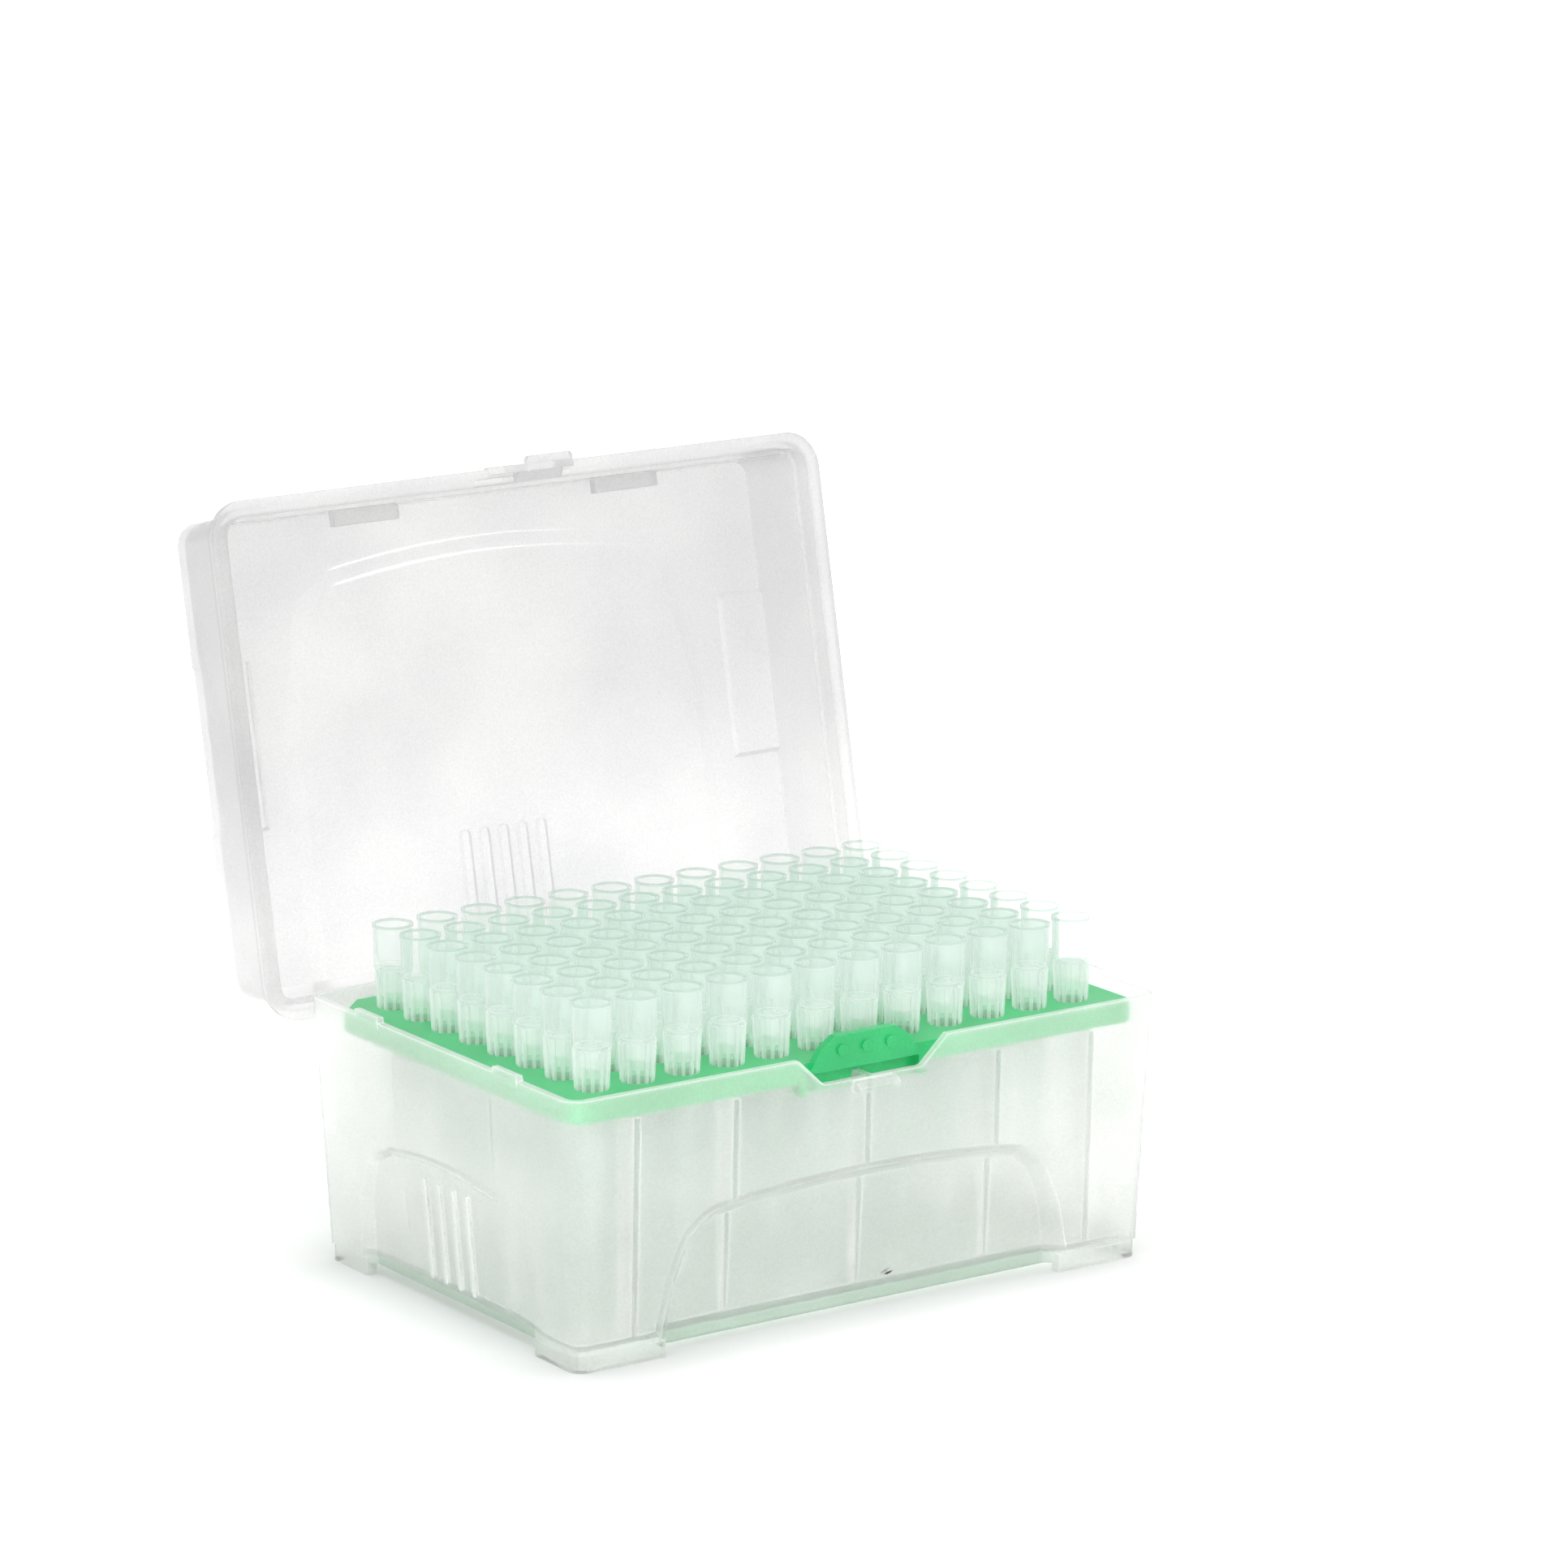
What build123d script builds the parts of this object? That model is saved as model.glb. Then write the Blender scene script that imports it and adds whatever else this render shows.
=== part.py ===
from build123d import *
import math
import os

# Box of 96 filter pipette tips: a moulded polypropylene box with a hinged lid, a loose rack
# and the tips in it.
# Units are millimetres. Z is up, z = 0 is the bench, X runs along the box and the front wall faces -Y.
# The lid is drawn standing open against its stop, turned about the hinge by lid_open_angle from closed.

# ---- tip grid ----
tip_pitch = 9.0
tip_columns = 12
tip_rows = 8

# ---- box base ----
rim_height = 47.6
rim_corner_radius = 3.4
wall = 1.3
draft_angle = 2.3
skirt_gap = 1.4
side_skirt_gap = 2.2
floor_height = 3.2
floor_thickness = 1.4

# ---- corner feet ----
foot_length = 18.0
foot_width = 13.5
foot_inset = 0.5
foot_thickness = 2.0

# ---- ribs inside the base that carry the rack ----
rib_thickness = 1.2
rib_spacing = 27.0
outer_rib_offset = 46.8
long_rib_depth = 7.0
short_rib_offset = 15.6
short_rib_depth = 6.7

# ---- arched recesses: sizes of the flat inner panel, the bevel grows outward from it ----
arch_corner_radius = 2.2
recess_bevel_angle = 45.0
recess_extra_lean = 2.4
long_recess_depth = 2.2
long_arch_height = 24.5
long_arch_crown = 2.0
long_arch_top_half = 31.0
long_arch_shoulder_half = 34.9
long_arch_shoulder_height = 19.6
long_arch_knee_half = 37.7
long_arch_knee_height = 12.4
long_arch_foot_half = 39.9
short_recess_depth = 1.1
short_arch_height = 25.4
short_arch_crown = 1.4
short_arch_top_half = 17.9
short_arch_shoulder_half = 22.8
short_arch_shoulder_height = 21.6
short_arch_knee_half = 25.6
short_arch_knee_height = 14.0
short_arch_foot_half = 26.2
grip_rib_count = 4
grip_rib_pitch = 4.5
grip_rib_width = 1.0
grip_rib_depth = 0.6
grip_rib_margin = 2.6

# ---- rim details ----
notch_top_half = 15.3
notch_bottom_half = 10.1
notch_depth = 4.95
notch_corner_radius = 1.5
catch_width = 8.3
catch_height = 1.6
catch_reach = 2.2
catch_drop = 0.4
catch_chamfer = 0.8
nub_length = 7.6
nub_offset = 22.2
nub_height = 1.0
nub_overhang = 0.2
nub_wedge = 2.6

# ---- rack ----
rack_drop = 1.6
rack_end_margin = 8.6
rack_side_margin = 7.7
rack_end_clearance = 1.3
rack_side_clearance = 1.9
rack_corner_radius = 3.5
rack_key_chamfer = 5.8
rack_plate = 1.4
rack_skirt_depth = 3.4
rack_skirt_wall = 1.2
rack_rib_thickness = 1.0
rack_long_rib_spacing = 18.0
rack_hole_radius = 2.6
tab_foot_half = 11.6
tab_shoulder_half = 9.2
tab_shoulder_height = 1.9
tab_top_half = 6.2
tab_height = 4.0
tab_drop = 1.9
tab_thickness = 1.6
tab_reach = 0.8
tab_corner_radius = 1.6
tab_recess = 2.0
tab_recess_drop = 2.4
tab_recess_clearance = 0.4
bump_radius = 0.95
bump_height = 0.45
bump_spacing = 5.0
bump_level = 1.5
bump_count = 3

# ---- tips: heights are measured down from the top of the tip ----
tip_length = 50.3
tip_lip_radius = 3.575
tip_lip_height = 0.5
tip_collar_radius = 3.4
tip_collar_height = 7.9
tip_seat_drop = 14.9
tip_core_top_radius = 2.9
tip_core_foot_radius = 2.46
tip_rib_count = 12
tip_rib_width = 0.65
tip_rib_top_radius = 3.3
tip_rib_foot_radius = 2.96
tip_barrel_drop = 24.3
tip_barrel_radius = 2.23
tip_cone_drop = 30.4
tip_cone_radius = 1.83
tip_neck_drop = 40.05
tip_neck_radius = 1.22
tip_end_radius = 0.3
tip_wall = 0.45
tip_web = 0.5
tip_end_wall = 0.12
socket_radius = 3.1
socket_length = 4.0
socket_foot_radius = 2.98
filter_radius = 2.4
filter_length = 2.7
filter_clearance = 0.03
filter_drop = 8.1
filter_ledge = 0.28

# ---- lid, sizes in its closed place ----
lid_open_angle = 101.4
lid_wall = 1.3
lid_top_thickness = 1.2
lid_clearance = 0.35
lid_overlap = 2.2
lid_seat_gap = 0.1
lid_step = 0.85
lid_draft_angle = 3.0
lid_tip_clearance = 0.4
flange_overhang = 1.65
flange_thickness = 1.3
panel_recess_depth = 0.9
panel_bevel_angle = 72.0
panel_arch_apex = 31.1
panel_arch_crown = 2.7
panel_arch_top_half = 31.5
panel_arch_shoulder_half = 37.2
panel_arch_shoulder = 24.2
panel_arch_knee_half = 42.2
panel_arch_knee = 1.0
panel_arch_foot_half = 41.8
panel_arch_corner_radius = 5.0
side_panel_depth = 0.7
side_panel_start = 50.4
side_panel_front = 16.5
side_panel_rear = 12.5
side_panel_bevel_angle = 45.0
lid_rib_count = 5
lid_rib_pitch = 4.05
lid_rib_width = 1.9
lid_rib_depth = 0.8
lid_rib_start = 18.5
lid_rib_centre = -2.6
pad_length = 13.4
pad_offset = 27.5
pad_thickness = 2.3
pad_depth = 1.6
pad_level = 9.0
tongue_top_half = 10.0
tongue_foot_half = 5.6
tongue_depth = 2.5
tongue_thickness = 1.15
latch_width = 9.6
latch_thickness = 1.35
latch_root_half = 6.8
latch_root_depth = 2.6
latch_tail = 3.7
latch_lip_reach = 1.4
latch_lip_height = 1.1
latch_corner_radius = 0.9
latch_clearance = 0.3
latch_hook_reach = 1.6
latch_hook_height = 1.5
latch_hook_gap = 0.25

# ---- hinge ----
hinge_offset = 3.1
hinge_drop = 5.9
hinge_spacing = 70.0
hinge_pin_radius = 1.4
hinge_clearance = 0.1
hinge_knuckle_radius = 2.7
hinge_arm_width = 9.0
hinge_arm_thickness = 2.2
hinge_ear_thickness = 1.9
hinge_ear_radius = 2.6
hinge_side_gap = 0.3
hinge_gusset_drop = 6.5
hinge_slot_width = 2.3
heel_gap = 0.1
heel_rise = 0.4
heel_drop = 2.2

# ---- derived sizes and places ----
draft = math.tan(math.radians(draft_angle))
lid_draft = math.tan(math.radians(lid_draft_angle))
rack_half_length = (tip_columns - 1) * tip_pitch / 2 + rack_end_margin
rack_half_width = (tip_rows - 1) * tip_pitch / 2 + rack_side_margin
half_length = rack_half_length + rack_end_clearance + wall
half_width = rack_half_width + rack_side_clearance + wall
floor_top = floor_height + floor_thickness
rack_top = rim_height - rack_drop
rack_seat = rack_top - rack_skirt_depth
tip_top = rack_top + tip_seat_drop
column_x = [(i - (tip_columns - 1) / 2) * tip_pitch for i in range(tip_columns)]
row_y = [(j - (tip_rows - 1) / 2) * tip_pitch for j in range(tip_rows)]
notch_floor = rim_height - notch_depth
catch_top = notch_floor - catch_drop
catch_face = half_width + catch_reach - (rim_height - catch_top) * draft
flange_z = rim_height - lid_overlap
shelf_z = rim_height + nub_height + lid_seat_gap
lid_inner_z = tip_top + lid_tip_clearance + lid_rib_depth + panel_recess_depth
lid_top_z = lid_inner_z + lid_top_thickness
lip_half_length = half_length + lid_clearance
lip_half_width = half_width + lid_clearance
lip_radius = rim_corner_radius + lid_clearance
hinge_y = half_width + hinge_offset
hinge_z = rim_height - hinge_drop
hinge_axis = Axis((0, hinge_y, hinge_z), (1, 0, 0))
hinge_bore_radius = hinge_pin_radius + hinge_clearance
hinge_x = (-hinge_spacing / 2, hinge_spacing / 2)
overlap = 0.5


def box_between(x, y, z):
    """A block from three pairs of low and high limits."""
    block = Box(x[1] - x[0], y[1] - y[0], z[1] - z[0], align=(Align.MIN, Align.MIN, Align.MIN))
    return Pos(x[0], y[0], z[0]) * block


def drafted_block(half_x, half_y, radius, z_low, z_high, slope=0.0, z_ref=0.0):
    """A rounded block whose plan is stated at z_ref and widens by slope for each millimetre above it."""
    sections = []
    for z in (z_low, z_high):
        grow = (z - z_ref) * slope
        plan = RectangleRounded(2 * (half_x + grow), 2 * (half_y + grow), radius)
        sections.append((Pos(0, 0, z) * plan).face())
    return loft(sections, ruled=True)


def arch_outline(height, crown, top_half, shoulder, knee, foot, radius):
    """A crowned arch with splayed legs; shoulder, knee and foot are (half width, height) pairs."""
    top = (top_half, height - crown)
    legs = [top, shoulder, knee, foot]
    with BuildSketch() as sketch:
        with BuildLine():
            ThreePointArc((-top[0], top[1]), (0, height), top)
            Polyline(legs + [(-foot[0], foot[1])])
            Polyline([(-x, y) for x, y in legs])
        make_face()
        corners = [v for v in sketch.vertices() if v.Y > foot[1] + overlap]
        fillet(corners, radius=radius)
    return sketch.sketch


def recess_plane(side, face, height, depth):
    """The plane of a recess floor: depth inside the wall face at the arch top and leaning in below it."""
    lean = math.radians(draft_angle + recess_extra_lean)
    at_top = face - (rim_height - height) * draft - depth
    out = side * math.cos(lean) + Vector(0, 0, -math.sin(lean))
    origin = side * (at_top - height * math.tan(lean))
    return Plane(origin=origin, x_dir=Vector(-side.Y, side.X, 0), z_dir=out)


def arch_wedge(outline, plane, backing):
    """Everything outside a recess floor; with backing the wall thickness is kept behind floor and bevel."""
    bevel = math.radians(recess_bevel_angle)
    if backing:
        grow = wall * (1 - math.sin(bevel)) / math.cos(bevel)
        outline = offset(outline, amount=grow)
        plane = plane.offset(-wall)
    reach = long_recess_depth + 2 * wall + rim_height * draft
    return extrude(plane * outline, amount=reach, taper=-recess_bevel_angle)


def recesses():
    """Floor plane and outline of the four arched recesses."""
    long_arch = arch_outline(long_arch_height, long_arch_crown, long_arch_top_half,
                             (long_arch_shoulder_half, long_arch_shoulder_height),
                             (long_arch_knee_half, long_arch_knee_height),
                             (long_arch_foot_half, -overlap), arch_corner_radius)
    short_arch = arch_outline(short_arch_height, short_arch_crown, short_arch_top_half,
                              (short_arch_shoulder_half, short_arch_shoulder_height),
                              (short_arch_knee_half, short_arch_knee_height),
                              (short_arch_foot_half, -overlap), arch_corner_radius)
    found = []
    for sign in (-1, 1):
        long_side = Vector(0, sign, 0)
        short_side = Vector(sign, 0, 0)
        long_plane = recess_plane(long_side, half_width, long_arch_height, long_recess_depth)
        short_plane = recess_plane(short_side, half_length, short_arch_height, short_recess_depth)
        found += [(long_plane, long_arch), (short_plane, short_arch)]
    return found


def inner_space(z_low, z_high, backings):
    """The room inside the walls, which keep their thickness behind the recesses."""
    room = drafted_block(half_length - wall, half_width - wall, rim_corner_radius - wall,
                         z_low, z_high, draft, rim_height)
    for block in backings:
        room -= block
    return room


def base_shell():
    """Walls, floor, arched recesses, inner and outer ribs and the four corner feet."""
    shell = drafted_block(half_length, half_width, rim_corner_radius, skirt_gap, rim_height,
                          draft, rim_height)
    wedges = []
    backings = []
    for plane, outline in recesses():
        wedges.append(arch_wedge(outline, plane, False))
        backings.append(arch_wedge(outline, plane, True))
    for wedge in wedges:
        shell -= wedge
    foot_x = half_length - (rim_height - floor_height) * draft
    foot_y = half_width - (rim_height - floor_height) * draft
    ring = drafted_block(foot_x - foot_inset, foot_y - foot_inset, rim_corner_radius - foot_inset,
                         0, floor_height)
    inset = foot_inset + foot_thickness
    ring -= drafted_block(foot_x - inset, foot_y - inset, rim_corner_radius - inset,
                          -overlap, floor_height + overlap)
    shell -= inner_space(skirt_gap - overlap, floor_height, backings)
    shell -= inner_space(floor_top, rim_height + overlap, backings + rack_ribs())
    for sx in (-1, 1):
        along = sorted((sx * (foot_x - foot_length), sx * 2 * half_length))
        for sy in (-1, 1):
            across = sorted((sy * (foot_y - foot_width), sy * 2 * half_width))
            corner = box_between(along, across, (-overlap, floor_height))
            shell -= corner
            shell += ring & corner
        shell -= box_between(along, (foot_width - foot_y, foot_y - foot_width), (0, side_skirt_gap))
    for plane, outline in recesses():
        if abs(plane.z_dir.X) > abs(plane.z_dir.Y):
            shell += grip_ribs(plane)
    return shell


def grip_ribs(plane):
    """Upright finger ribs standing on the floor of a short wall's recess."""
    low = side_skirt_gap + grip_rib_margin
    high = short_arch_height - grip_rib_margin
    ribs = Sketch()
    for i in range(grip_rib_count):
        at = (i - (grip_rib_count - 1) / 2) * grip_rib_pitch
        ribs += Pos(at, (low + high) / 2) * SlotOverall(high - low, grip_rib_width, rotation=90)
    return extrude(plane.offset(-wall / 2) * ribs, amount=wall / 2 + grip_rib_depth)


def rack_ribs():
    """Upright blocks in the room inside the walls, up to the seat of the rack."""
    ribs = []
    z = (floor_top - overlap, rack_seat)
    for x in (0, -rib_spacing, rib_spacing, -outer_rib_offset, outer_rib_offset):
        for sy in (-1, 1):
            y = sorted((sy * (half_width - long_rib_depth), sy * half_width))
            ribs.append(box_between((x - rib_thickness / 2, x + rib_thickness / 2), y, z))
    for y in (-short_rib_offset, short_rib_offset):
        for sx in (-1, 1):
            x = sorted((sx * (half_length - short_rib_depth), sx * half_length))
            ribs.append(box_between(x, (y - rib_thickness / 2, y + rib_thickness / 2), z))
    return ribs


def yz_prism(points, x_low, x_high):
    """A prism along X from an outline of (y, z) points."""
    outline = make_face(Polyline([(0, y, z) for y, z in points], close=True))
    return Pos(x_low, 0, 0) * extrude(outline, amount=x_high - x_low, dir=(1, 0, 0))


def xz_face(points, y):
    """A flat face across Y from an outline of (x, z) points."""
    return make_face(Polyline([(x, y, z) for x, z in points], close=True))


def notch_cut():
    """The finger notch in the middle of the front rim."""
    foot = notch_floor
    slope = (notch_top_half - notch_bottom_half) / notch_depth
    top_half = notch_top_half + slope * overlap
    top = rim_height + overlap
    outline = xz_face([(-notch_bottom_half, foot), (notch_bottom_half, foot),
                       (top_half, top), (-top_half, top)], -half_width - wall)
    cut = extrude(outline, amount=3 * wall, dir=(0, 1, 0))
    edges = [e for e in cut.edges().filter_by(Axis.Y) if e.center().Z < foot + overlap]
    return fillet(edges, radius=notch_corner_radius)


def catch():
    """The lip below the notch that the latch snaps under."""
    face = -catch_face
    root = face + catch_reach + wall / 2
    foot = catch_top - catch_height
    points = [(root, foot), (face, foot), (face, catch_top - catch_chamfer),
              (face + catch_chamfer, catch_top), (root, catch_top)]
    return yz_prism(points, -catch_width / 2, catch_width / 2)


def rim_nubs():
    """Low nubs on the rim of the short walls that the closed lid rests on."""
    nubs = []
    inner = half_length - wall
    outer = half_length + nub_overhang
    wedge_foot = rim_height - nub_wedge
    for y in (-nub_offset, nub_offset):
        points = [(inner, wedge_foot), (half_length - nub_wedge * draft - nub_overhang, wedge_foot),
                  (outer, rim_height), (outer - nub_overhang, rim_height + nub_height),
                  (inner + nub_overhang, rim_height + nub_height), (inner, rim_height)]
        nub = extrude(xz_face(points, y - nub_length / 2), amount=nub_length, dir=(0, 1, 0))
        nubs.append(nub)
        nubs.append(mirror(nub, about=Plane.YZ))
    return nubs


def hinge_cylinder(radius, x_low, x_high):
    """A cylinder about the hinge axis."""
    body = Cylinder(radius, x_high - x_low, rotation=(0, 90, 0))
    return Pos((x_low + x_high) / 2, hinge_y, hinge_z) * body


def hinge_ears():
    """Ears on the rear wall, in pairs, with the pin that joins each pair."""
    pieces = []
    wall_face = half_width - hinge_drop * draft
    root = wall_face - wall / 2
    for x in hinge_x:
        inner = hinge_arm_width / 2 + hinge_side_gap
        for sign in (-1, 1):
            near, far = sorted((x + sign * inner, x + sign * (inner + hinge_ear_thickness)))
            pieces.append(hinge_cylinder(hinge_ear_radius, near, far))
            points = [(root, hinge_z + hinge_ear_radius), (hinge_y, hinge_z + hinge_ear_radius),
                      (hinge_y, hinge_z), (hinge_y, hinge_z - hinge_ear_radius),
                      (root, hinge_z - hinge_gusset_drop)]
            pieces.append(yz_prism(points, near, far))
        pieces.append(hinge_cylinder(hinge_pin_radius, x - inner - overlap, x + inner + overlap))
    return pieces


def box_base():
    """The whole base as one moulding."""
    base = base_shell()
    base -= notch_cut()
    base += catch()
    for piece in rim_nubs() + hinge_ears():
        base += piece
    return base


def tip_rack():
    """The loose rack: plate with a hole for each tip, skirt, stiffening ribs and thumb tab."""
    def block(inset, z_low, z_high):
        radius = rack_corner_radius - inset
        body = drafted_block(rack_half_length - inset, rack_half_width - inset, radius, z_low, z_high)
        key = rack_key_chamfer - inset * (2 - math.sqrt(2))
        corner_x = inset - rack_half_length
        corner_y = rack_half_width - inset
        corner = Polyline([(corner_x - overlap, corner_y - key - overlap),
                           (corner_x + key + overlap, corner_y + overlap),
                           (corner_x - overlap, corner_y + overlap)], close=True)
        cut = extrude(Pos(0, 0, z_low) * make_face(corner), amount=z_high - z_low)
        return body - cut

    under = rack_top - rack_plate
    rack = block(0, rack_seat, rack_top)
    rack -= block(rack_skirt_wall, rack_seat - overlap, under)
    front = -rack_half_width
    foot = rack_seat - tab_recess_drop
    back = front + tab_recess + rack_skirt_wall
    rack += box_between((-tab_foot_half - rack_skirt_wall, tab_foot_half + rack_skirt_wall),
                        (front, back), (foot, rack_top))
    rack -= box_between((-tab_foot_half, tab_foot_half), (front - overlap, front + tab_recess),
                        (foot - overlap, rack_top - tab_drop))
    slot = rib_thickness / 2 + tab_recess_clearance
    rack -= box_between((-slot, slot), (front - overlap, back + overlap), (foot - overlap, rack_seat))
    rib = rack_rib_thickness / 2
    inner_x = rack_half_length - rack_skirt_wall
    inner_y = rack_half_width - rack_skirt_wall - tab_recess
    for x in (-rib_spacing, 0, rib_spacing):
        rack += box_between((x - rib, x + rib), (-inner_y, inner_y), (rack_seat, under))
    for y in (-rack_long_rib_spacing, 0, rack_long_rib_spacing):
        rack += box_between((-inner_x, inner_x), (y - rib, y + rib), (rack_seat, under))
    for x in column_x:
        hole = Cylinder(rack_hole_radius, 2 * rack_plate)
        rack -= [Pos(x, y, under + rack_plate / 2) * hole for y in row_y]
    return rack + thumb_tab()


def thumb_tab():
    """The tab at the front of the rack, with three round bumps for grip."""
    face = -rack_half_width - tab_reach
    outline = [(tab_foot_half, rack_top - tab_drop), (tab_shoulder_half, rack_top + tab_shoulder_height),
               (tab_top_half, rack_top + tab_height)]
    points = outline + [(-x, z) for x, z in reversed(outline)]
    plate = extrude(xz_face(points, face), amount=tab_thickness, dir=(0, 1, 0))
    edges = [e for e in plate.edges().filter_by(Axis.Y) if e.center().Z > rack_top]
    tab = fillet(edges, radius=tab_corner_radius)
    for i in range(bump_count):
        x = (i - (bump_count - 1) / 2) * bump_spacing
        bump = Cylinder(bump_radius, bump_height + overlap, rotation=(90, 0, 0))
        tab += Pos(x, face + (overlap - bump_height) / 2, rack_top + bump_level) * bump
    return tab


def tip_profile():
    """Half section of one tip as (radius, height above the tip's top) points, outside then inside."""
    outside = [(tip_lip_radius, 0), (tip_lip_radius, -tip_lip_height), (tip_collar_radius, -tip_lip_height),
               (tip_collar_radius, -tip_collar_height), (tip_core_top_radius, -tip_collar_height),
               (tip_core_foot_radius, -tip_seat_drop), (tip_barrel_radius, -tip_barrel_drop),
               (tip_cone_radius, -tip_cone_drop), (tip_neck_radius, -tip_neck_drop),
               (tip_end_radius, -tip_length)]
    seat = filter_radius + filter_clearance
    seat_foot = filter_drop + filter_length
    ledge = tip_collar_height - tip_web
    inside = [(tip_end_radius - tip_end_wall, -tip_length), (tip_neck_radius - tip_wall, -tip_neck_drop),
              (tip_cone_radius - tip_wall, -tip_cone_drop), (tip_barrel_radius - tip_wall, -tip_barrel_drop),
              (tip_core_foot_radius - tip_wall, -tip_seat_drop), (seat - filter_ledge, -seat_foot),
              (seat, -seat_foot), (seat, -ledge), (socket_foot_radius, -ledge),
              (socket_radius, -socket_length), (socket_radius, 0)]
    return outside + inside


def one_tip():
    """One tip with its top at the origin: a turned shell with upright ribs below the collar."""
    outline = make_face(Polyline([(r, 0, z) for r, z in tip_profile()], close=True))
    shell = revolve(outline, axis=Axis.Z)
    top_root = (tip_core_top_radius + filter_radius + filter_clearance) / 2
    foot_root = tip_core_foot_radius - tip_wall / 2
    points = [(top_root, -tip_collar_height), (tip_rib_top_radius, -tip_collar_height),
              (tip_rib_foot_radius, -tip_seat_drop), (foot_root, -tip_seat_drop)]
    face = make_face(Polyline([(r, -tip_rib_width / 2, z) for r, z in points], close=True))
    rib = extrude(face, amount=tip_rib_width, dir=(0, 1, 0))
    return shell + [Rot(0, 0, i * 360 / tip_rib_count) * rib for i in range(tip_rib_count)]


def one_filter():
    """One filter plug, placed from the top of its tip."""
    plug = Cylinder(filter_radius, filter_length, align=(Align.CENTER, Align.CENTER, Align.MAX))
    return Pos(0, 0, -filter_drop) * plug


def column_of(piece, x):
    """A column of separate copies of one piece, one in each row of the rack."""
    return Compound(children=[Pos(x, y, tip_top) * piece for y in row_y])


def panel_recess(backing):
    """The arched recess in the top of the lid, open towards the hinge, or the room its backing takes."""
    outline = arch_outline(panel_arch_apex, panel_arch_crown, panel_arch_top_half,
                           (panel_arch_shoulder_half, panel_arch_shoulder),
                           (panel_arch_knee_half, panel_arch_knee),
                           (panel_arch_foot_half, -half_width - overlap), panel_arch_corner_radius)
    depth = panel_recess_depth + (lid_top_thickness if backing else 0)
    face = Plane(origin=(0, 0, lid_top_z - depth), x_dir=(-1, 0, 0), z_dir=(0, 0, 1)) * outline
    return extrude(face, amount=depth + overlap, taper=-panel_bevel_angle)


def side_panel_recess(sign, backing):
    """The shallow recess beside the arch, which runs out over the short side of the lid."""
    depth = side_panel_depth + (lid_top_thickness if backing else 0)
    x = sorted((sign * side_panel_start, sign * (half_length + 2 * panel_recess_depth)))
    centre_y = (side_panel_rear - side_panel_front) / 2
    plan = Rectangle(x[1] - x[0], side_panel_front + side_panel_rear)
    face = Pos((x[0] + x[1]) / 2, centre_y, lid_top_z - depth) * plan
    return extrude(face, amount=depth + overlap, taper=-side_panel_bevel_angle)


def lid_shell():
    """Flange, lip, shelf, drafted skirt and top panel, in the closed place."""
    skirt_length = lip_half_length - lid_step
    skirt_width = lip_half_width - lid_step
    skirt_radius = lip_radius - lid_step
    outer = drafted_block(skirt_length + lid_wall, skirt_width + lid_wall, skirt_radius + lid_wall,
                          shelf_z, lid_top_z, -lid_draft, shelf_z)
    outer += drafted_block(lip_half_length + lid_wall, lip_half_width + lid_wall, lip_radius + lid_wall,
                           flange_z, shelf_z + lid_wall)
    rim = lid_wall + flange_overhang
    outer += drafted_block(lip_half_length + rim, lip_half_width + rim, lip_radius + rim,
                           flange_z, flange_z + flange_thickness)
    room = drafted_block(skirt_length, skirt_width, skirt_radius, shelf_z - overlap, lid_inner_z,
                         -lid_draft, shelf_z)
    outer -= panel_recess(False)
    room -= panel_recess(True)
    for sign in (-1, 1):
        outer -= side_panel_recess(sign, False)
        room -= side_panel_recess(sign, True)
    room += drafted_block(lip_half_length, lip_half_width, lip_radius, flange_z - overlap, shelf_z)
    return outer - room


def lid_inside_ribs():
    """Finger ribs under the top panel and the two pads inside the front wall."""
    pieces = []
    under = lid_inner_z - panel_recess_depth
    skirt = lip_half_width - lid_step
    rear = skirt + (shelf_z - lid_inner_z) * lid_draft + lid_rib_width / 2
    for i in range(lid_rib_count):
        x = lid_rib_centre + (i - (lid_rib_count - 1) / 2) * lid_rib_pitch
        slot = SlotOverall(rear - lid_rib_start, lid_rib_width, rotation=90)
        face = Pos(x, (rear + lid_rib_start) / 2, under - lid_rib_depth) * slot
        pieces.append(extrude(face, amount=lid_rib_depth + overlap))
    front = -skirt + (lid_inner_z - shelf_z) * lid_draft
    pad_foot = flange_z + pad_level
    for x in (-pad_offset, pad_offset):
        pieces.append(box_between((x - pad_length / 2, x + pad_length / 2),
                                  (front - lid_wall / 2, front + pad_thickness),
                                  (pad_foot, pad_foot + pad_depth)))
    return pieces


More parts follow.
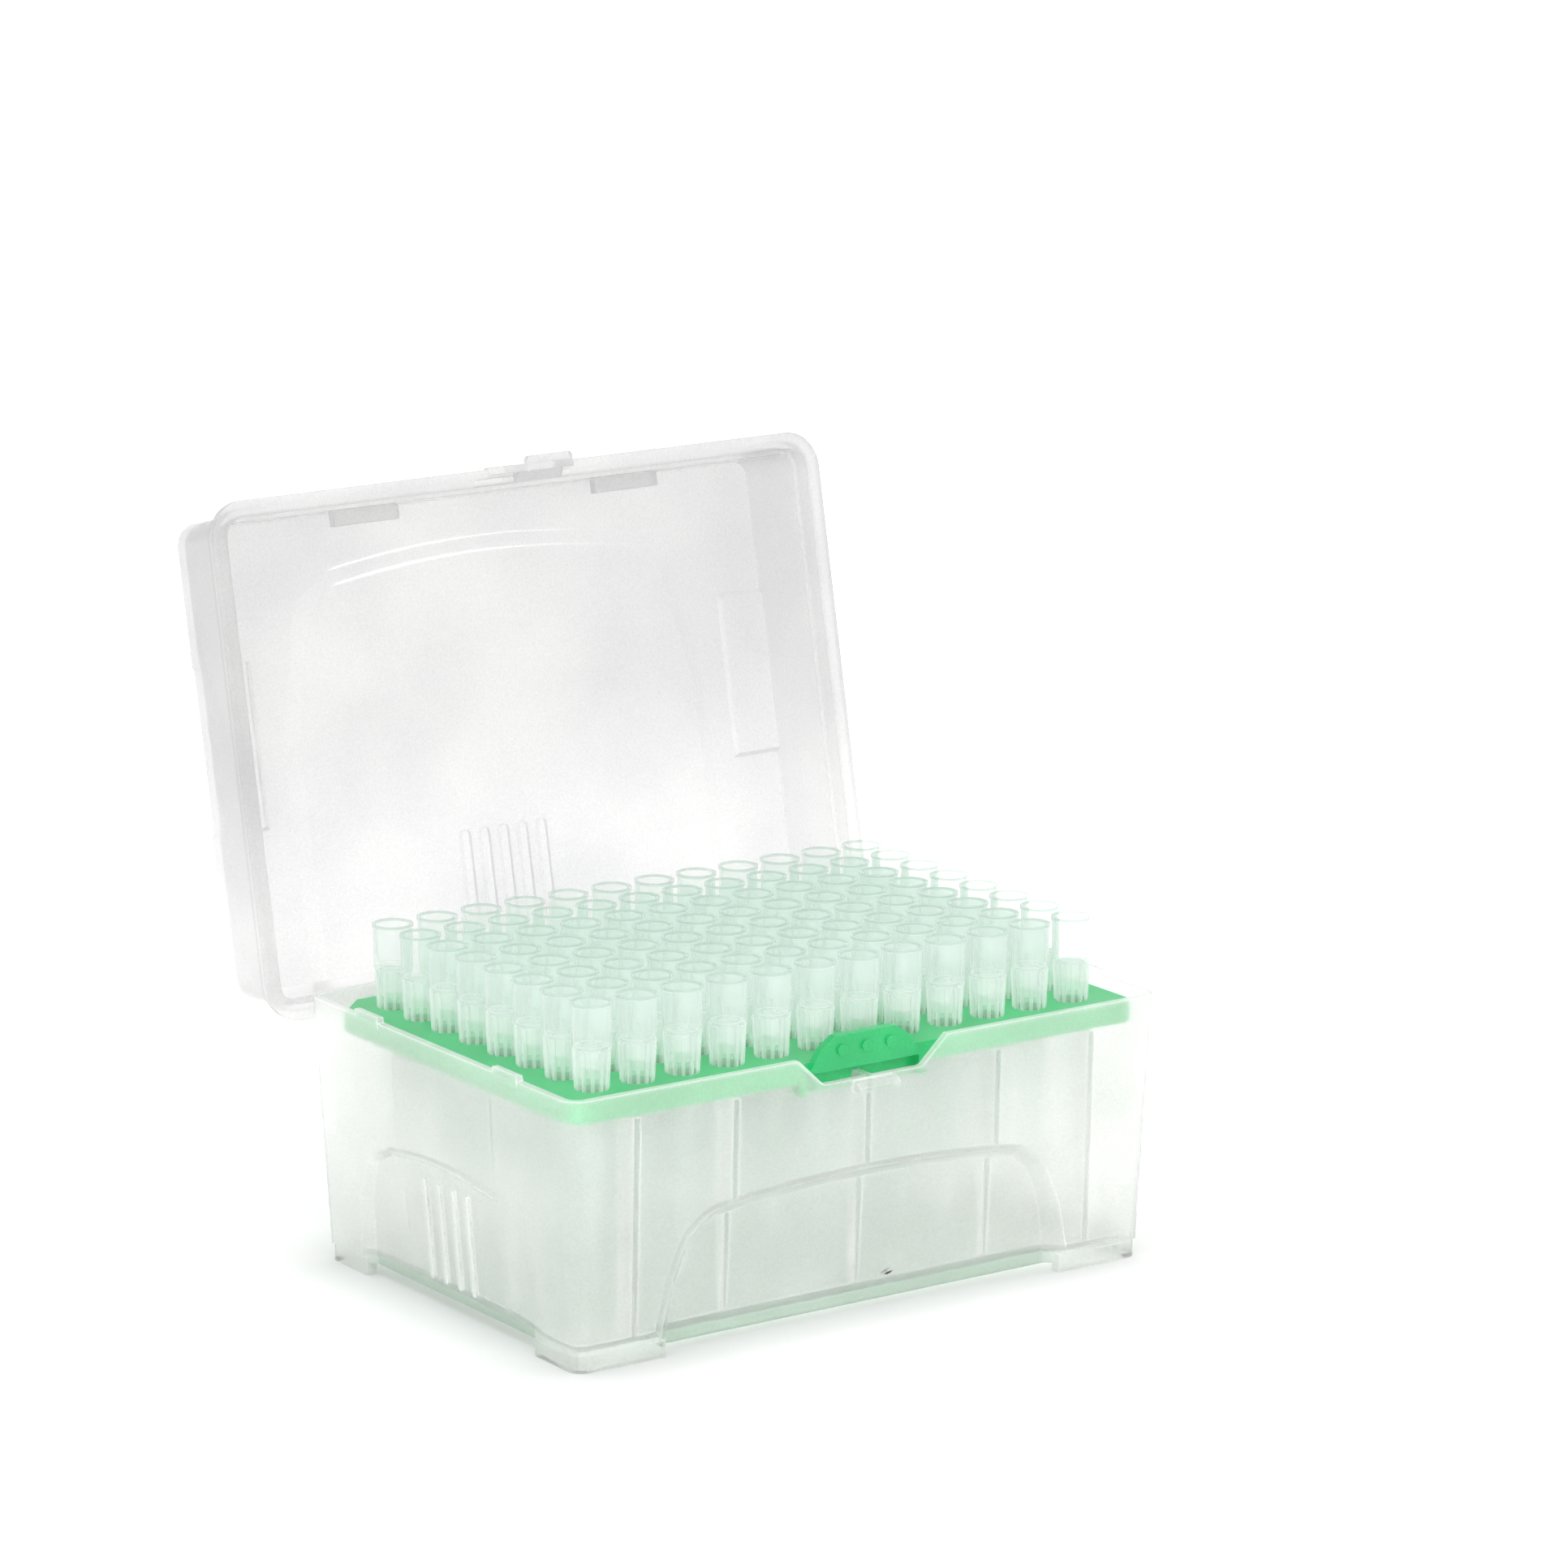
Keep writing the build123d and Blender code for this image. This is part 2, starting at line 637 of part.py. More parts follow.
def lid_latch():
    """The tongue that closes the notch from outside and the spring latch with its hook."""
    face = -lip_half_width - lid_wall
    tongue = xz_face([(-tongue_top_half, flange_z + overlap), (tongue_top_half, flange_z + overlap),
                      (tongue_top_half, flange_z), (tongue_foot_half, flange_z - tongue_depth),
                      (-tongue_foot_half, flange_z - tongue_depth), (-tongue_top_half, flange_z)], face)
    tongue = extrude(tongue, amount=tongue_thickness, dir=(0, 1, 0))
    inner = -catch_face - latch_clearance
    outer = inner - latch_thickness
    top = flange_z + flange_thickness
    hook_top = catch_top - catch_height - latch_hook_gap
    hook_foot = hook_top - latch_hook_height
    foot = hook_foot - latch_tail
    lip_face = outer - latch_lip_reach
    lip_top = foot + latch_lip_height
    hook = inner + latch_hook_reach
    points = [(inner, top), (outer, top), (outer, lip_top), (lip_face, lip_top),
              (lip_face, foot), (inner, foot), (inner, hook_foot),
              (hook, hook_foot + latch_hook_height / 2), (hook, hook_top), (inner, hook_top)]
    latch = yz_prism(points, -latch_width / 2, latch_width / 2)
    corners = [e for e in latch.edges().filter_by(Axis.Z) if e.center().Y < outer - latch_lip_reach / 2]
    latch = fillet(corners, radius=latch_corner_radius)
    root_foot = flange_z - latch_root_depth
    root = xz_face([(-latch_root_half, top), (latch_root_half, top), (latch_root_half, flange_z),
                    (latch_width / 2, root_foot), (-latch_width / 2, root_foot),
                    (-latch_root_half, flange_z)], outer)
    return [tongue, latch, extrude(root, amount=latch_thickness, dir=(0, 1, 0))]


def lid_arms():
    """Arms from the flange down to the knuckles that clip over the pins, in the closed place."""
    pieces = []
    for x in hinge_x:
        half = hinge_arm_width / 2
        y = (hinge_y - hinge_arm_thickness / 2, hinge_y + hinge_arm_thickness / 2)
        pieces.append(box_between((x - half, x + half), y, (hinge_z, flange_z + flange_thickness)))
        pieces.append(hinge_cylinder(hinge_knuckle_radius, x - half, x + half))
    return pieces


def lid_heels():
    """Heels on the knuckles that meet the rear wall and stop the lid, in the open place."""
    wall_face = half_width - (hinge_drop - heel_rise) * draft
    reach = wall_face + heel_gap
    z = (hinge_z - heel_drop, hinge_z + heel_rise)
    half = hinge_arm_width / 2
    return [box_between((x - half, x + half), (reach, hinge_y), z) for x in hinge_x]


def lid():
    """The whole lid as one moulding, standing open."""
    closed = lid_shell()
    for piece in lid_inside_ribs() + lid_latch() + lid_arms():
        closed += piece
    slot = (hinge_z - hinge_slot_width / 2, hinge_z + hinge_slot_width / 2)
    reach = hinge_y + hinge_knuckle_radius + overlap
    for x in hinge_x:
        half = hinge_arm_width / 2 + overlap
        closed -= box_between((x - half, x + half), (hinge_y, reach), slot)
    opened = closed.rotate(hinge_axis, -lid_open_angle)
    for heel in lid_heels():
        opened += heel
    for x in hinge_x:
        half = hinge_arm_width / 2 + overlap
        opened -= hinge_cylinder(hinge_bore_radius, x - half, x + half)
    return opened


def save(shape, name):
    """Write one node as a STEP file."""
    export_step(shape, os.path.join("parts", name + ".step"))


os.makedirs("parts", exist_ok=True)
save(box_base(), "box_base")
save(tip_rack(), "tip_rack")
save(lid(), "lid")
tip = one_tip()
plug = one_filter()
for number, x in enumerate(column_x, start=1):
    save(column_of(tip, x), f"tips_column_{number:02d}")
    save(column_of(plug, x), f"filters_column_{number:02d}")
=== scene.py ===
import bpy
import math
from mathutils import Matrix, Vector


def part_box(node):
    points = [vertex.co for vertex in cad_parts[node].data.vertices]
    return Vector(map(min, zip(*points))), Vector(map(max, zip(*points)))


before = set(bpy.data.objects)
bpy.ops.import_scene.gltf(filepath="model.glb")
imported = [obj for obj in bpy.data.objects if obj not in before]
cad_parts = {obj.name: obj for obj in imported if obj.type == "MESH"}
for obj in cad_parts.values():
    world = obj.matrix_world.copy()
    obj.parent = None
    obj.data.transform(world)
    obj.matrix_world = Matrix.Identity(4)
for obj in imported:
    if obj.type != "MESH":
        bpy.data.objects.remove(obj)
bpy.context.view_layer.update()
print("frame loaded:", len(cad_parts), "nodes")

mm = 0.001  # m


# small helpers
def linearColour(hexColour):
    # sRGB hex to linear: each channel c becomes c/12.92 below 0.04045, else ((c + 0.055)/1.055)^2.4
    channels = [int(hexColour[i:i + 2], 16) / 255 for i in (0, 2, 4)]
    return [c / 12.92 if c <= 0.04045 else ((c + 0.055) / 1.055) ** 2.4 for c in channels] + [1.0]


def perMillimetre(size):
    # pattern scale that gives one blotch about every size millimetres
    return 1000.0 / size


def addNode(tree, kind, values=None, links=None, **settings):
    # one node with its settings, its socket values and what feeds its sockets
    node = tree.nodes.new(kind)
    for name, value in settings.items():
        setattr(node, name, value)
    for socket, value in (values or {}).items():
        node.inputs[socket].default_value = value
    for socket, source in (links or {}).items():
        tree.links.new(source, node.inputs[socket])
    return node


def emptyMaterial(name):
    material = bpy.data.materials.new(name)
    material.use_nodes = True
    material.node_tree.nodes.clear()
    return material, material.node_tree


def dress(nodeName, material):
    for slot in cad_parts[nodeName].material_slots:
        slot.material = material


# camera
cameraPlace = {
    "position": (-622.263, -922.109, 347.699),  # mm, from the middle of the box on the bench
    "heading": 34.47292,                        # degrees from +Y towards +X
    "tiltDown": 13.29199,
    "roll": -0.12773,
    "lens": 152.5528,                           # mm
    "sensor": 36.0,
}


def makeCamera(place):
    heading, tilt, roll = (math.radians(place[k]) for k in ("heading", "tiltDown", "roll"))
    ahead = Vector((math.sin(heading) * math.cos(tilt), math.cos(heading) * math.cos(tilt),
                    -math.sin(tilt)))
    right = Vector((math.cos(heading), -math.sin(heading), 0))
    up = right.cross(ahead)
    turnedRight = right * math.cos(roll) + up * math.sin(roll)
    turnedUp = up * math.cos(roll) - right * math.sin(roll)
    data = bpy.data.cameras.new("benchCamera")
    data.lens = place["lens"]
    data.sensor_width = place["sensor"]
    data.clip_start = 0.01
    data.clip_end = 100.0
    camera = bpy.data.objects.new("benchCamera", data)
    turn = Matrix((turnedRight, turnedUp, -ahead)).transposed().to_4x4()
    camera.matrix_world = Matrix.Translation(Vector(place["position"]) * mm) @ turn
    bpy.context.scene.collection.objects.link(camera)
    bpy.context.scene.camera = camera


makeCamera(cameraPlace)
bpy.context.scene.view_settings.view_transform = "Standard"
print("camera placed")


# pale floor, white surround and soft lamps
studio = {
    "roomLight": 0.8,           # strength of the surround as a light
    "roomSeen": 1.0,            # strength of the surround as it is seen, 1 is white
    "floorSize": 14.0,          # m
    "floorColour": "EAEBEA",
    "contactShade": 0.5,        # painted contact shadow: how much darker the floor gets right beside what stands on it
    "contactReach": 15.0,       # mm
    "underEdge": 0.95,          # where the floor under the box starts, 1 is at the box's sides
    "underFull": 0.75,
    "paintedGlowUnder": 0.05,          # painted light: a glow on the floor under the box, for the light a clear box lets down to it
    "glowNear": 0.16,           # lifts the seen floor to white, less near the box for its shadow
    "glowFar": 0.6,
    "glowFrom": 75.0,           # mm from the middle of the box
    "glowTo": 210.0,
    "lampAim": (0, 0, 0.05),    # m, the point all lamps face
    "lamps": [
        # name, place in m, watts, size in m
        ("overheadSoftbox", (-0.25, -0.35, 1.5), 6.6, 1.3),
        ("lowSoftbox", (-0.9, -0.9, 0.12), 6.0, 0.5),
        ("leftLamp", (-1.5, -0.3, 0.9), 1.5, 0.25),
        ("rightLamp", (0.85, -1.4, 0.8), 3.6, 0.14),
        ("sideSoftbox", (1.3, 0.1, 0.5), 6.4, 0.4),
    ],
}


def seenRays(tree):
    # 1 for what the camera sees, straight, mirrored or through something clear
    rays = addNode(tree, "ShaderNodeLightPath")
    shiny = addNode(tree, "ShaderNodeMath",
                    links={0: rays.outputs["Is Camera Ray"], 1: rays.outputs["Is Glossy Ray"]},
                    operation="ADD", use_clamp=True)
    seen = addNode(tree, "ShaderNodeMath",
                   links={0: shiny.outputs[0], 1: rays.outputs["Is Transmission Ray"]},
                   operation="ADD", use_clamp=True)
    return seen.outputs[0]


def makeWorld(look):
    world = bpy.data.worlds.new("whiteSurround")
    world.use_nodes = True
    tree = world.node_tree
    tree.nodes.clear()
    strength = addNode(tree, "ShaderNodeMapRange",
                       {"To Min": look["roomLight"], "To Max": look["roomSeen"]},
                       {"Value": seenRays(tree)})
    background = addNode(tree, "ShaderNodeBackground", {"Color": linearColour("FFFFFF")},
                         {"Strength": strength.outputs[0]})
    addNode(tree, "ShaderNodeOutputWorld", links={"Surface": background.outputs[0]})
    bpy.context.scene.world = world


def makeFloor(look):
    # painted board: matt, with a painted contact shadow from ambient occlusion, darker where
    # something stands on it
    half = look["floorSize"] / 2
    corners = [(-half, -half, 0), (half, -half, 0), (half, half, 0), (-half, half, 0)]
    mesh = bpy.data.meshes.new("benchTop")
    mesh.from_pydata(corners, [], [(0, 1, 2, 3)])
    floor = bpy.data.objects.new("benchTop", mesh)
    bpy.context.scene.collection.objects.link(floor)
    material, tree = emptyMaterial("mattPaintedBoard")
    nearby = addNode(tree, "ShaderNodeAmbientOcclusion", {"Distance": look["contactReach"] * mm},
                     samples=8)
    place = addNode(tree, "ShaderNodeTexCoord")
    (left, front, _), (right, back, _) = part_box("box_base")
    # the larger of x and y counted in half widths of the box: 0 in its middle, 1 at its sides
    inside = addNode(tree, "ShaderNodeMapping",
                     {"Location": ((left + right) / 2, (front + back) / 2, 0.0),
                      "Scale": ((right - left) / 2, (back - front) / 2, 1.0)},
                     {"Vector": place.outputs["Object"]}, vector_type="TEXTURE")
    sideways = addNode(tree, "ShaderNodeVectorMath", links={0: inside.outputs["Vector"]},
                       operation="ABSOLUTE")
    parts = addNode(tree, "ShaderNodeSeparateXYZ", links={"Vector": sideways.outputs["Vector"]})
    furthest = addNode(tree, "ShaderNodeMath",
                       links={0: parts.outputs["X"], 1: parts.outputs["Y"]}, operation="MAXIMUM")
    under = addNode(tree, "ShaderNodeMapRange",
                    {"From Min": look["underEdge"], "From Max": look["underFull"]},
                    {"Value": furthest.outputs[0]})
    # the contact shade stays out of the area under the box, which shows through its clear walls
    openness = addNode(tree, "ShaderNodeMath",
                       links={0: nearby.outputs["AO"], 1: under.outputs[0]}, operation="MAXIMUM")
    shade = addNode(tree, "ShaderNodeMapRange", {"To Min": 1 - look["contactShade"]},
                    {"Value": openness.outputs[0]})
    paint = addNode(tree, "ShaderNodeBsdfDiffuse", {"Color": linearColour(look["floorColour"])})
    shadow = addNode(tree, "ShaderNodeBsdfDiffuse", {"Color": linearColour("000000")})
    matt = addNode(tree, "ShaderNodeMixShader",
                   links={0: shade.outputs[0], 1: shadow.outputs[0], 2: paint.outputs[0]})
    away = addNode(tree, "ShaderNodeVectorMath", links={0: place.outputs["Object"]},
                   operation="LENGTH")
    rise = addNode(tree, "ShaderNodeMapRange",
                   {"From Min": look["glowFrom"] * mm, "From Max": look["glowTo"] * mm,
                    "To Min": look["glowNear"], "To Max": look["glowFar"]},
                   {"Value": away.outputs["Value"]}, interpolation_type="SMOOTHSTEP")
    # painted light under the box, added to the glow that lifts the seen floor to white
    lit = addNode(tree, "ShaderNodeMath", {1: look["paintedGlowUnder"]},
                  {0: under.outputs[0], 2: rise.outputs[0]}, operation="MULTIPLY_ADD")
    level = addNode(tree, "ShaderNodeMath", links={0: seenRays(tree), 1: lit.outputs[0]},
                    operation="MULTIPLY")
    glow = addNode(tree, "ShaderNodeEmission", {"Color": linearColour("FFFFFF")},
                   {"Strength": level.outputs[0]})
    total = addNode(tree, "ShaderNodeAddShader", links={0: matt.outputs[0], 1: glow.outputs[0]})
    addNode(tree, "ShaderNodeOutputMaterial", links={"Surface": total.outputs[0]})
    mesh.materials.append(material)


def makeLamps(look):
    for name, place, watts, size in look["lamps"]:
        data = bpy.data.lights.new(name, "AREA")
        data.energy = watts
        data.size = size
        lamp = bpy.data.objects.new(name, data)
        lamp.location = place
        lamp.rotation_mode = "QUATERNION"
        facing = Vector(look["lampAim"]) - Vector(place)
        lamp.rotation_quaternion = facing.to_track_quat("-Z", "Y")
        bpy.context.scene.collection.objects.link(lamp)


makeWorld(studio)
makeFloor(studio)
makeLamps(studio)
print("studio ready")


# what the plastics share
cloudSpread = (0.35, 0.65)  # noise values between which the shade goes from one colour to the other
grainSpread = (0.3, 0.7)
edgeTurn = (0.97, 0.8)      # cosine of the rounded surface's turn where an edge starts and is full


def mottle(tree, place, look):
    # slow change of shade along the flow of the melt: the two colours mixed by noise
    cloud = addNode(tree, "ShaderNodeTexNoise",
                    {"Scale": perMillimetre(look["cloud"]), "Detail": 3.0},
                    {"Vector": place.outputs["Object"]})
    spread = addNode(tree, "ShaderNodeMapRange",
                     {"From Min": cloudSpread[0], "From Max": cloudSpread[1]},
                     {"Value": cloud.outputs["Fac"]})
    tint = addNode(tree, "ShaderNodeMix",
                   {"A": linearColour(look["colour"]), "B": linearColour(look["denseColour"])},
                   {"Factor": spread.outputs[0]}, data_type="RGBA")
    return tint.outputs["Result"]


def toolTexture(tree, place, look):
    # the texture of the steel it was moulded in: fine bumps, and a gloss and shade that follow them
    grain = addNode(tree, "ShaderNodeTexNoise",
                    {"Scale": perMillimetre(look["grain"]), "Detail": 2.0},
                    {"Vector": place.outputs["Object"]})
    bump = addNode(tree, "ShaderNodeBump", {"Distance": look["grainHeight"] * mm},
                   {"Height": grain.outputs["Fac"]})
    rough = addNode(tree, "ShaderNodeMapRange",
                    {"To Min": look["roughness"] * 0.9, "To Max": look["roughness"] * 1.1},
                    {"Value": grain.outputs["Fac"]})
    shade = addNode(tree, "ShaderNodeMapRange",
                    {"From Min": grainSpread[0], "From Max": grainSpread[1],
                     "To Min": 1 - look["grainShade"], "To Max": 1 + look["grainShade"]},
                    {"Value": grain.outputs["Fac"]})
    return bump.outputs["Normal"], rough.outputs[0], shade.outputs[0]


def edgeMask(tree, look):
    # 1 along edges, where more plastic lies behind the surface and the edge colour is painted:
    # there the rounded surface turns away from the flat one
    rounded = addNode(tree, "ShaderNodeBevel", {"Radius": look["edgeBand"] * mm}, samples=4)
    flat = addNode(tree, "ShaderNodeNewGeometry")
    same = addNode(tree, "ShaderNodeVectorMath",
                   links={0: rounded.outputs["Normal"], 1: flat.outputs["True Normal"]},
                   operation="DOT_PRODUCT")
    bent = addNode(tree, "ShaderNodeMapRange",
                   {"From Min": edgeTurn[0], "From Max": edgeTurn[1]},
                   {"Value": same.outputs["Value"]})
    return bent.outputs[0]


def letLampsThrough(tree, shader, look):
    # thin milky walls hold back only a little of the lamps' light
    rays = addNode(tree, "ShaderNodeLightPath")
    share = addNode(tree, "ShaderNodeMath", {1: look["lampShare"]},
                    {0: rays.outputs["Is Shadow Ray"]}, operation="MULTIPLY")
    clear = addNode(tree, "ShaderNodeBsdfTransparent", {"Color": linearColour(look["lampColour"])})
    both = addNode(tree, "ShaderNodeMixShader",
                   links={0: share.outputs[0], 1: shader.outputs[0], 2: clear.outputs[0]})
    addNode(tree, "ShaderNodeOutputMaterial", links={"Surface": both.outputs[0]})


def mouldedPlastic(name, look):
    # polypropylene moulded in a textured tool: some light scatters in the wall, the rest passes
    # blurred; along the edges, which are a little round, the coat catches the lamps and a painted
    # edge line in the look's edge colour is mixed in
    material, tree = emptyMaterial(name)
    place = addNode(tree, "ShaderNodeTexCoord")
    normal, rough, grainShade = toolTexture(tree, place, look)
    softEdge = addNode(tree, "ShaderNodeBevel", {"Radius": look["edgeRadius"] * mm}, samples=4)
    edge = edgeMask(tree, look)
    # painted edge line in the look's edge colour: a painted highlight on the base and rack, painted
    # shade on the lid
    smooth = addNode(tree, "ShaderNodeMix", {"B": linearColour(look["paintedEdgeColour"])},
                     {"Factor": edge, "A": mottle(tree, place, look)}, data_type="RGBA")
    colour = addNode(tree, "ShaderNodeMix", {"Factor": 1.0},
                     {"A": smooth.outputs["Result"], "B": grainShade},
                     data_type="RGBA", blend_type="MULTIPLY")
    passing = addNode(tree, "ShaderNodeMapRange",
                      {"To Min": look["transmission"], "To Max": look["edgeTransmission"]},
                      {"Value": edge})
    shader = addNode(tree, "ShaderNodeBsdfPrincipled",
                     {"IOR": look["ior"], "Coat Weight": look["coat"],
                      "Coat Roughness": look["coatRoughness"]},
                     {"Base Color": colour.outputs["Result"],
                      "Transmission Weight": passing.outputs[0], "Roughness": rough,
                      "Normal": normal, "Coat Normal": softEdge.outputs["Normal"]})
    letLampsThrough(tree, shader, look)
    return material, tree, place, shader


# box base: natural polypropylene, moulded with a spark-eroded matt finish
# The walls look like ground glass: what lies right behind them shows as a soft blur, the rest as
# pale haze.
basePlastic = {
    "colour": "F6F6F5",
    "denseColour": "EEEFED",
    # painted highlight along the edges, where also less light passes through the thicker plastic
    "paintedEdgeColour": "FAFBFA",
    "cloud": 16.0,               # mm
    "plateShadeColour": "D8E5DC",     # painted shade and green tint low on the walls, partly the thick floor plate, seen between the feet
    "plateFrom": 4.8,            # mm above the bench
    "plateTo": 3.0,
    "footFromX": (38.0, 42.0),   # mm from the middle, where the feet start
    "footFromY": (25.0, 29.0),
    "footShare": 0.2,            # how much of the painted plate shade the feet keep
    "transmission": 0.84,
    "edgeTransmission": 0.3,
    "edgeBand": 0.8,             # mm
    "roughness": 0.5,
    "ior": 1.13,                 # solid polypropylene has 1.49, a matt thin wall bends light less
    "coat": 0.7,
    "coatRoughness": 0.12,
    "edgeRadius": 0.4,           # mm
    "grain": 0.4,                # mm, the real texture of 0.05 mm is drawn coarser so it shows
    "grainShade": 0.06,
    "grainHeight": 0.006,        # mm
    "lampShare": 0.95,
    "lampColour": "FFFFFF",
    "speckColour": "3B3A37",
    "speckAt": (6.3, 5.7),       # mm along the front and up, on the floor of the arch
    "speckLength": 2.1,          # mm
    "speckHeight": 0.5,
    "speckTurn": -14.0,          # degrees
    "speckRim": (1.6, 1.1),      # where its ragged edge starts and is full
    "speckGrain": 0.4,           # mm
    "speckBehind": -30.0,        # mm, the speck is on no wall behind this
}


# painted darker and greener low down, but not at the four feet: partly the doubled plastic of the
# floor plate, partly painted shade and green light from the rack
def plateTintAndShade(tree, place, shader, look):
    # the floor plate doubles the plastic low down, everywhere but at the four feet
    high = addNode(tree, "ShaderNodeSeparateXYZ", links={"Vector": place.outputs["Object"]})
    low = addNode(tree, "ShaderNodeMapRange",
                  {"From Min": look["plateFrom"] * mm, "From Max": look["plateTo"] * mm},
                  {"Value": high.outputs["Z"]}, interpolation_type="SMOOTHSTEP")
    sideways = addNode(tree, "ShaderNodeVectorMath", links={0: place.outputs["Object"]},
                       operation="ABSOLUTE")
    out = addNode(tree, "ShaderNodeSeparateXYZ", links={"Vector": sideways.outputs["Vector"]})
    farX, farY = (addNode(tree, "ShaderNodeMapRange",
                          {"From Min": start * mm, "From Max": end * mm},
                          {"Value": out.outputs[axis]}, interpolation_type="SMOOTHSTEP")
                  for axis, (start, end) in (("X", look["footFromX"]), ("Y", look["footFromY"])))
    foot = addNode(tree, "ShaderNodeMath", links={0: farX.outputs[0], 1: farY.outputs[0]},
                   operation="MULTIPLY")
    keep = addNode(tree, "ShaderNodeMapRange", {"To Min": 1.0, "To Max": look["footShare"]},
                   {"Value": foot.outputs[0]})
    share = addNode(tree, "ShaderNodeMath", links={0: low.outputs[0], 1: keep.outputs[0]},
                    operation="MULTIPLY")
    plain = shader.inputs["Base Color"].links[0].from_socket
    tinted = addNode(tree, "ShaderNodeMix", {"B": linearColour(look["plateShadeColour"])},
                     {"Factor": share.outputs[0], "A": plain},
                     data_type="RGBA", blend_type="MULTIPLY")
    tree.links.new(tinted.outputs["Result"], shader.inputs["Base Color"])


def addSpeck(tree, place, shader, look):
    # one dark fleck in the front wall: a stretched blot with a ragged edge
    x, z = look["speckAt"]
    fitted = addNode(tree, "ShaderNodeMapping",
                     {"Location": (x * mm, 0.0, z * mm),
                      "Rotation": (0.0, math.radians(look["speckTurn"]), 0.0),
                      "Scale": (look["speckLength"] / 2 * mm, 1000.0,
                                look["speckHeight"] / 2 * mm)},
                     {"Vector": place.outputs["Object"]}, vector_type="TEXTURE")
    ragged = addNode(tree, "ShaderNodeTexNoise", {"Scale": perMillimetre(look["speckGrain"])},
                     {"Vector": place.outputs["Object"]})
    away = addNode(tree, "ShaderNodeVectorMath", links={0: fitted.outputs["Vector"]},
                   operation="LENGTH")
    edge = addNode(tree, "ShaderNodeMath",
                   links={0: away.outputs["Value"], 1: ragged.outputs["Fac"]}, operation="ADD")
    blot = addNode(tree, "ShaderNodeMapRange",
                   {"From Min": look["speckRim"][0], "From Max": look["speckRim"][1]},
                   {"Value": edge.outputs[0]})
    parts = addNode(tree, "ShaderNodeSeparateXYZ", links={"Vector": place.outputs["Object"]})
    front = addNode(tree, "ShaderNodeMath", {1: look["speckBehind"] * mm},
                    {0: parts.outputs["Y"]}, operation="LESS_THAN")
    speck = addNode(tree, "ShaderNodeMath", links={0: blot.outputs[0], 1: front.outputs[0]},
                    operation="MULTIPLY")
    dark = linearColour(look["speckColour"])
    for socket, value, kind in (("Base Color", dark, "RGBA"),
                                ("Transmission Weight", 0.0, "FLOAT")):
        clean = shader.inputs[socket].links[0].from_socket
        mixed = addNode(tree, "ShaderNodeMix", {"B": value},
                        {"Factor": speck.outputs[0], "A": clean}, data_type=kind)
        tree.links.new(mixed.outputs["Result"], shader.inputs[socket])


baseMaterial, baseTree, basePlace, baseShader = mouldedPlastic("mattNaturalPolypropylene",
                                                               basePlastic)
plateTintAndShade(baseTree, basePlace, baseShader, basePlastic)
addSpeck(baseTree, basePlace, baseShader, basePlastic)
dress("box_base", baseMaterial)
print("base dressed")


# lid: clear polypropylene in the same matt finish, a little greyer and cloudier
lidPlastic = {
    "colour": "DDDCDC",
    "denseColour": "D4D3D4",
    # painted shade: thin darker lines along the edges
    "paintedEdgeColour": "CACACA",
    "paintedLightGain": 1.15,            # painted light: how much paler the wall is painted by the hinge
    "paleFrom": 90.0,            # mm above the bench with the lid standing open
    "paleTo": 55.0,
    "cloud": 30.0,               # mm
    "transmission": 0.6,
    "edgeTransmission": 0.6,
    "edgeBand": 0.5,             # mm
    "roughness": 0.45,
    "ior": 1.12,                 # low for the same reason as the base's
    "coat": 0.7,
    "coatRoughness": 0.12,
    "edgeRadius": 0.6,           # mm
    "grain": 0.4,                # mm, drawn coarser than the real 0.05 mm so it shows
    "grainShade": 0.06,
    "grainHeight": 0.005,        # mm
    "lampShare": 0.85,
    "lampColour": "FFFFFF",
}


def paintedHingeLight(tree, place, shader, look):
    # painted light: the lid's wall is painted paler towards its hinge
    parts = addNode(tree, "ShaderNodeSeparateXYZ", links={"Vector": place.outputs["Object"]})
    share = addNode(tree, "ShaderNodeMapRange",
                    {"From Min": look["paleFrom"] * mm, "From Max": look["paleTo"] * mm},
                    {"Value": parts.outputs["Z"]}, interpolation_type="SMOOTHSTEP")
    gain = look["paintedLightGain"]
    plain = shader.inputs["Base Color"].links[0].from_socket
    paler = addNode(tree, "ShaderNodeMix", {"B": (gain, gain, gain, 1.0)},
                    {"Factor": share.outputs[0], "A": plain},
                    data_type="RGBA", blend_type="MULTIPLY")
    tree.links.new(paler.outputs["Result"], shader.inputs["Base Color"])


lidMaterial, lidTree, lidPlace, lidShader = mouldedPlastic("mattClearPolypropylene", lidPlastic)
paintedHingeLight(lidTree, lidPlace, lidShader, lidPlastic)
dress("lid", lidMaterial)
print("lid dressed")


# rack: polypropylene with green pigment, smooth tool, slightly translucent
rackPlastic = {
    "colour": "2DC776",
    "denseColour": "27BD6E",
    # painted highlight along the edges
    "paintedEdgeColour": "3CD084",
    "cloud": 12.0,               # mm
    "transmission": 0.2,
    "edgeTransmission": 0.2,
    "edgeBand": 0.3,             # mm
    "roughness": 0.3,
    "ior": 1.4,
    "coat": 0.2,
    "coatRoughness": 0.2,
    "edgeRadius": 0.25,          # mm
    "grain": 0.5,                # mm, drawn coarser than the real 0.05 mm so it shows
    "grainShade": 0.05,
    "grainHeight": 0.008,        # mm
    "lampShare": 0.6,
    "lampColour": "7CE0B2",      # pigment tints the light that gets through
}
dress("tip_rack", mouldedPlastic("greenPigmentedPolypropylene", rackPlastic)[0])
print("rack dressed")


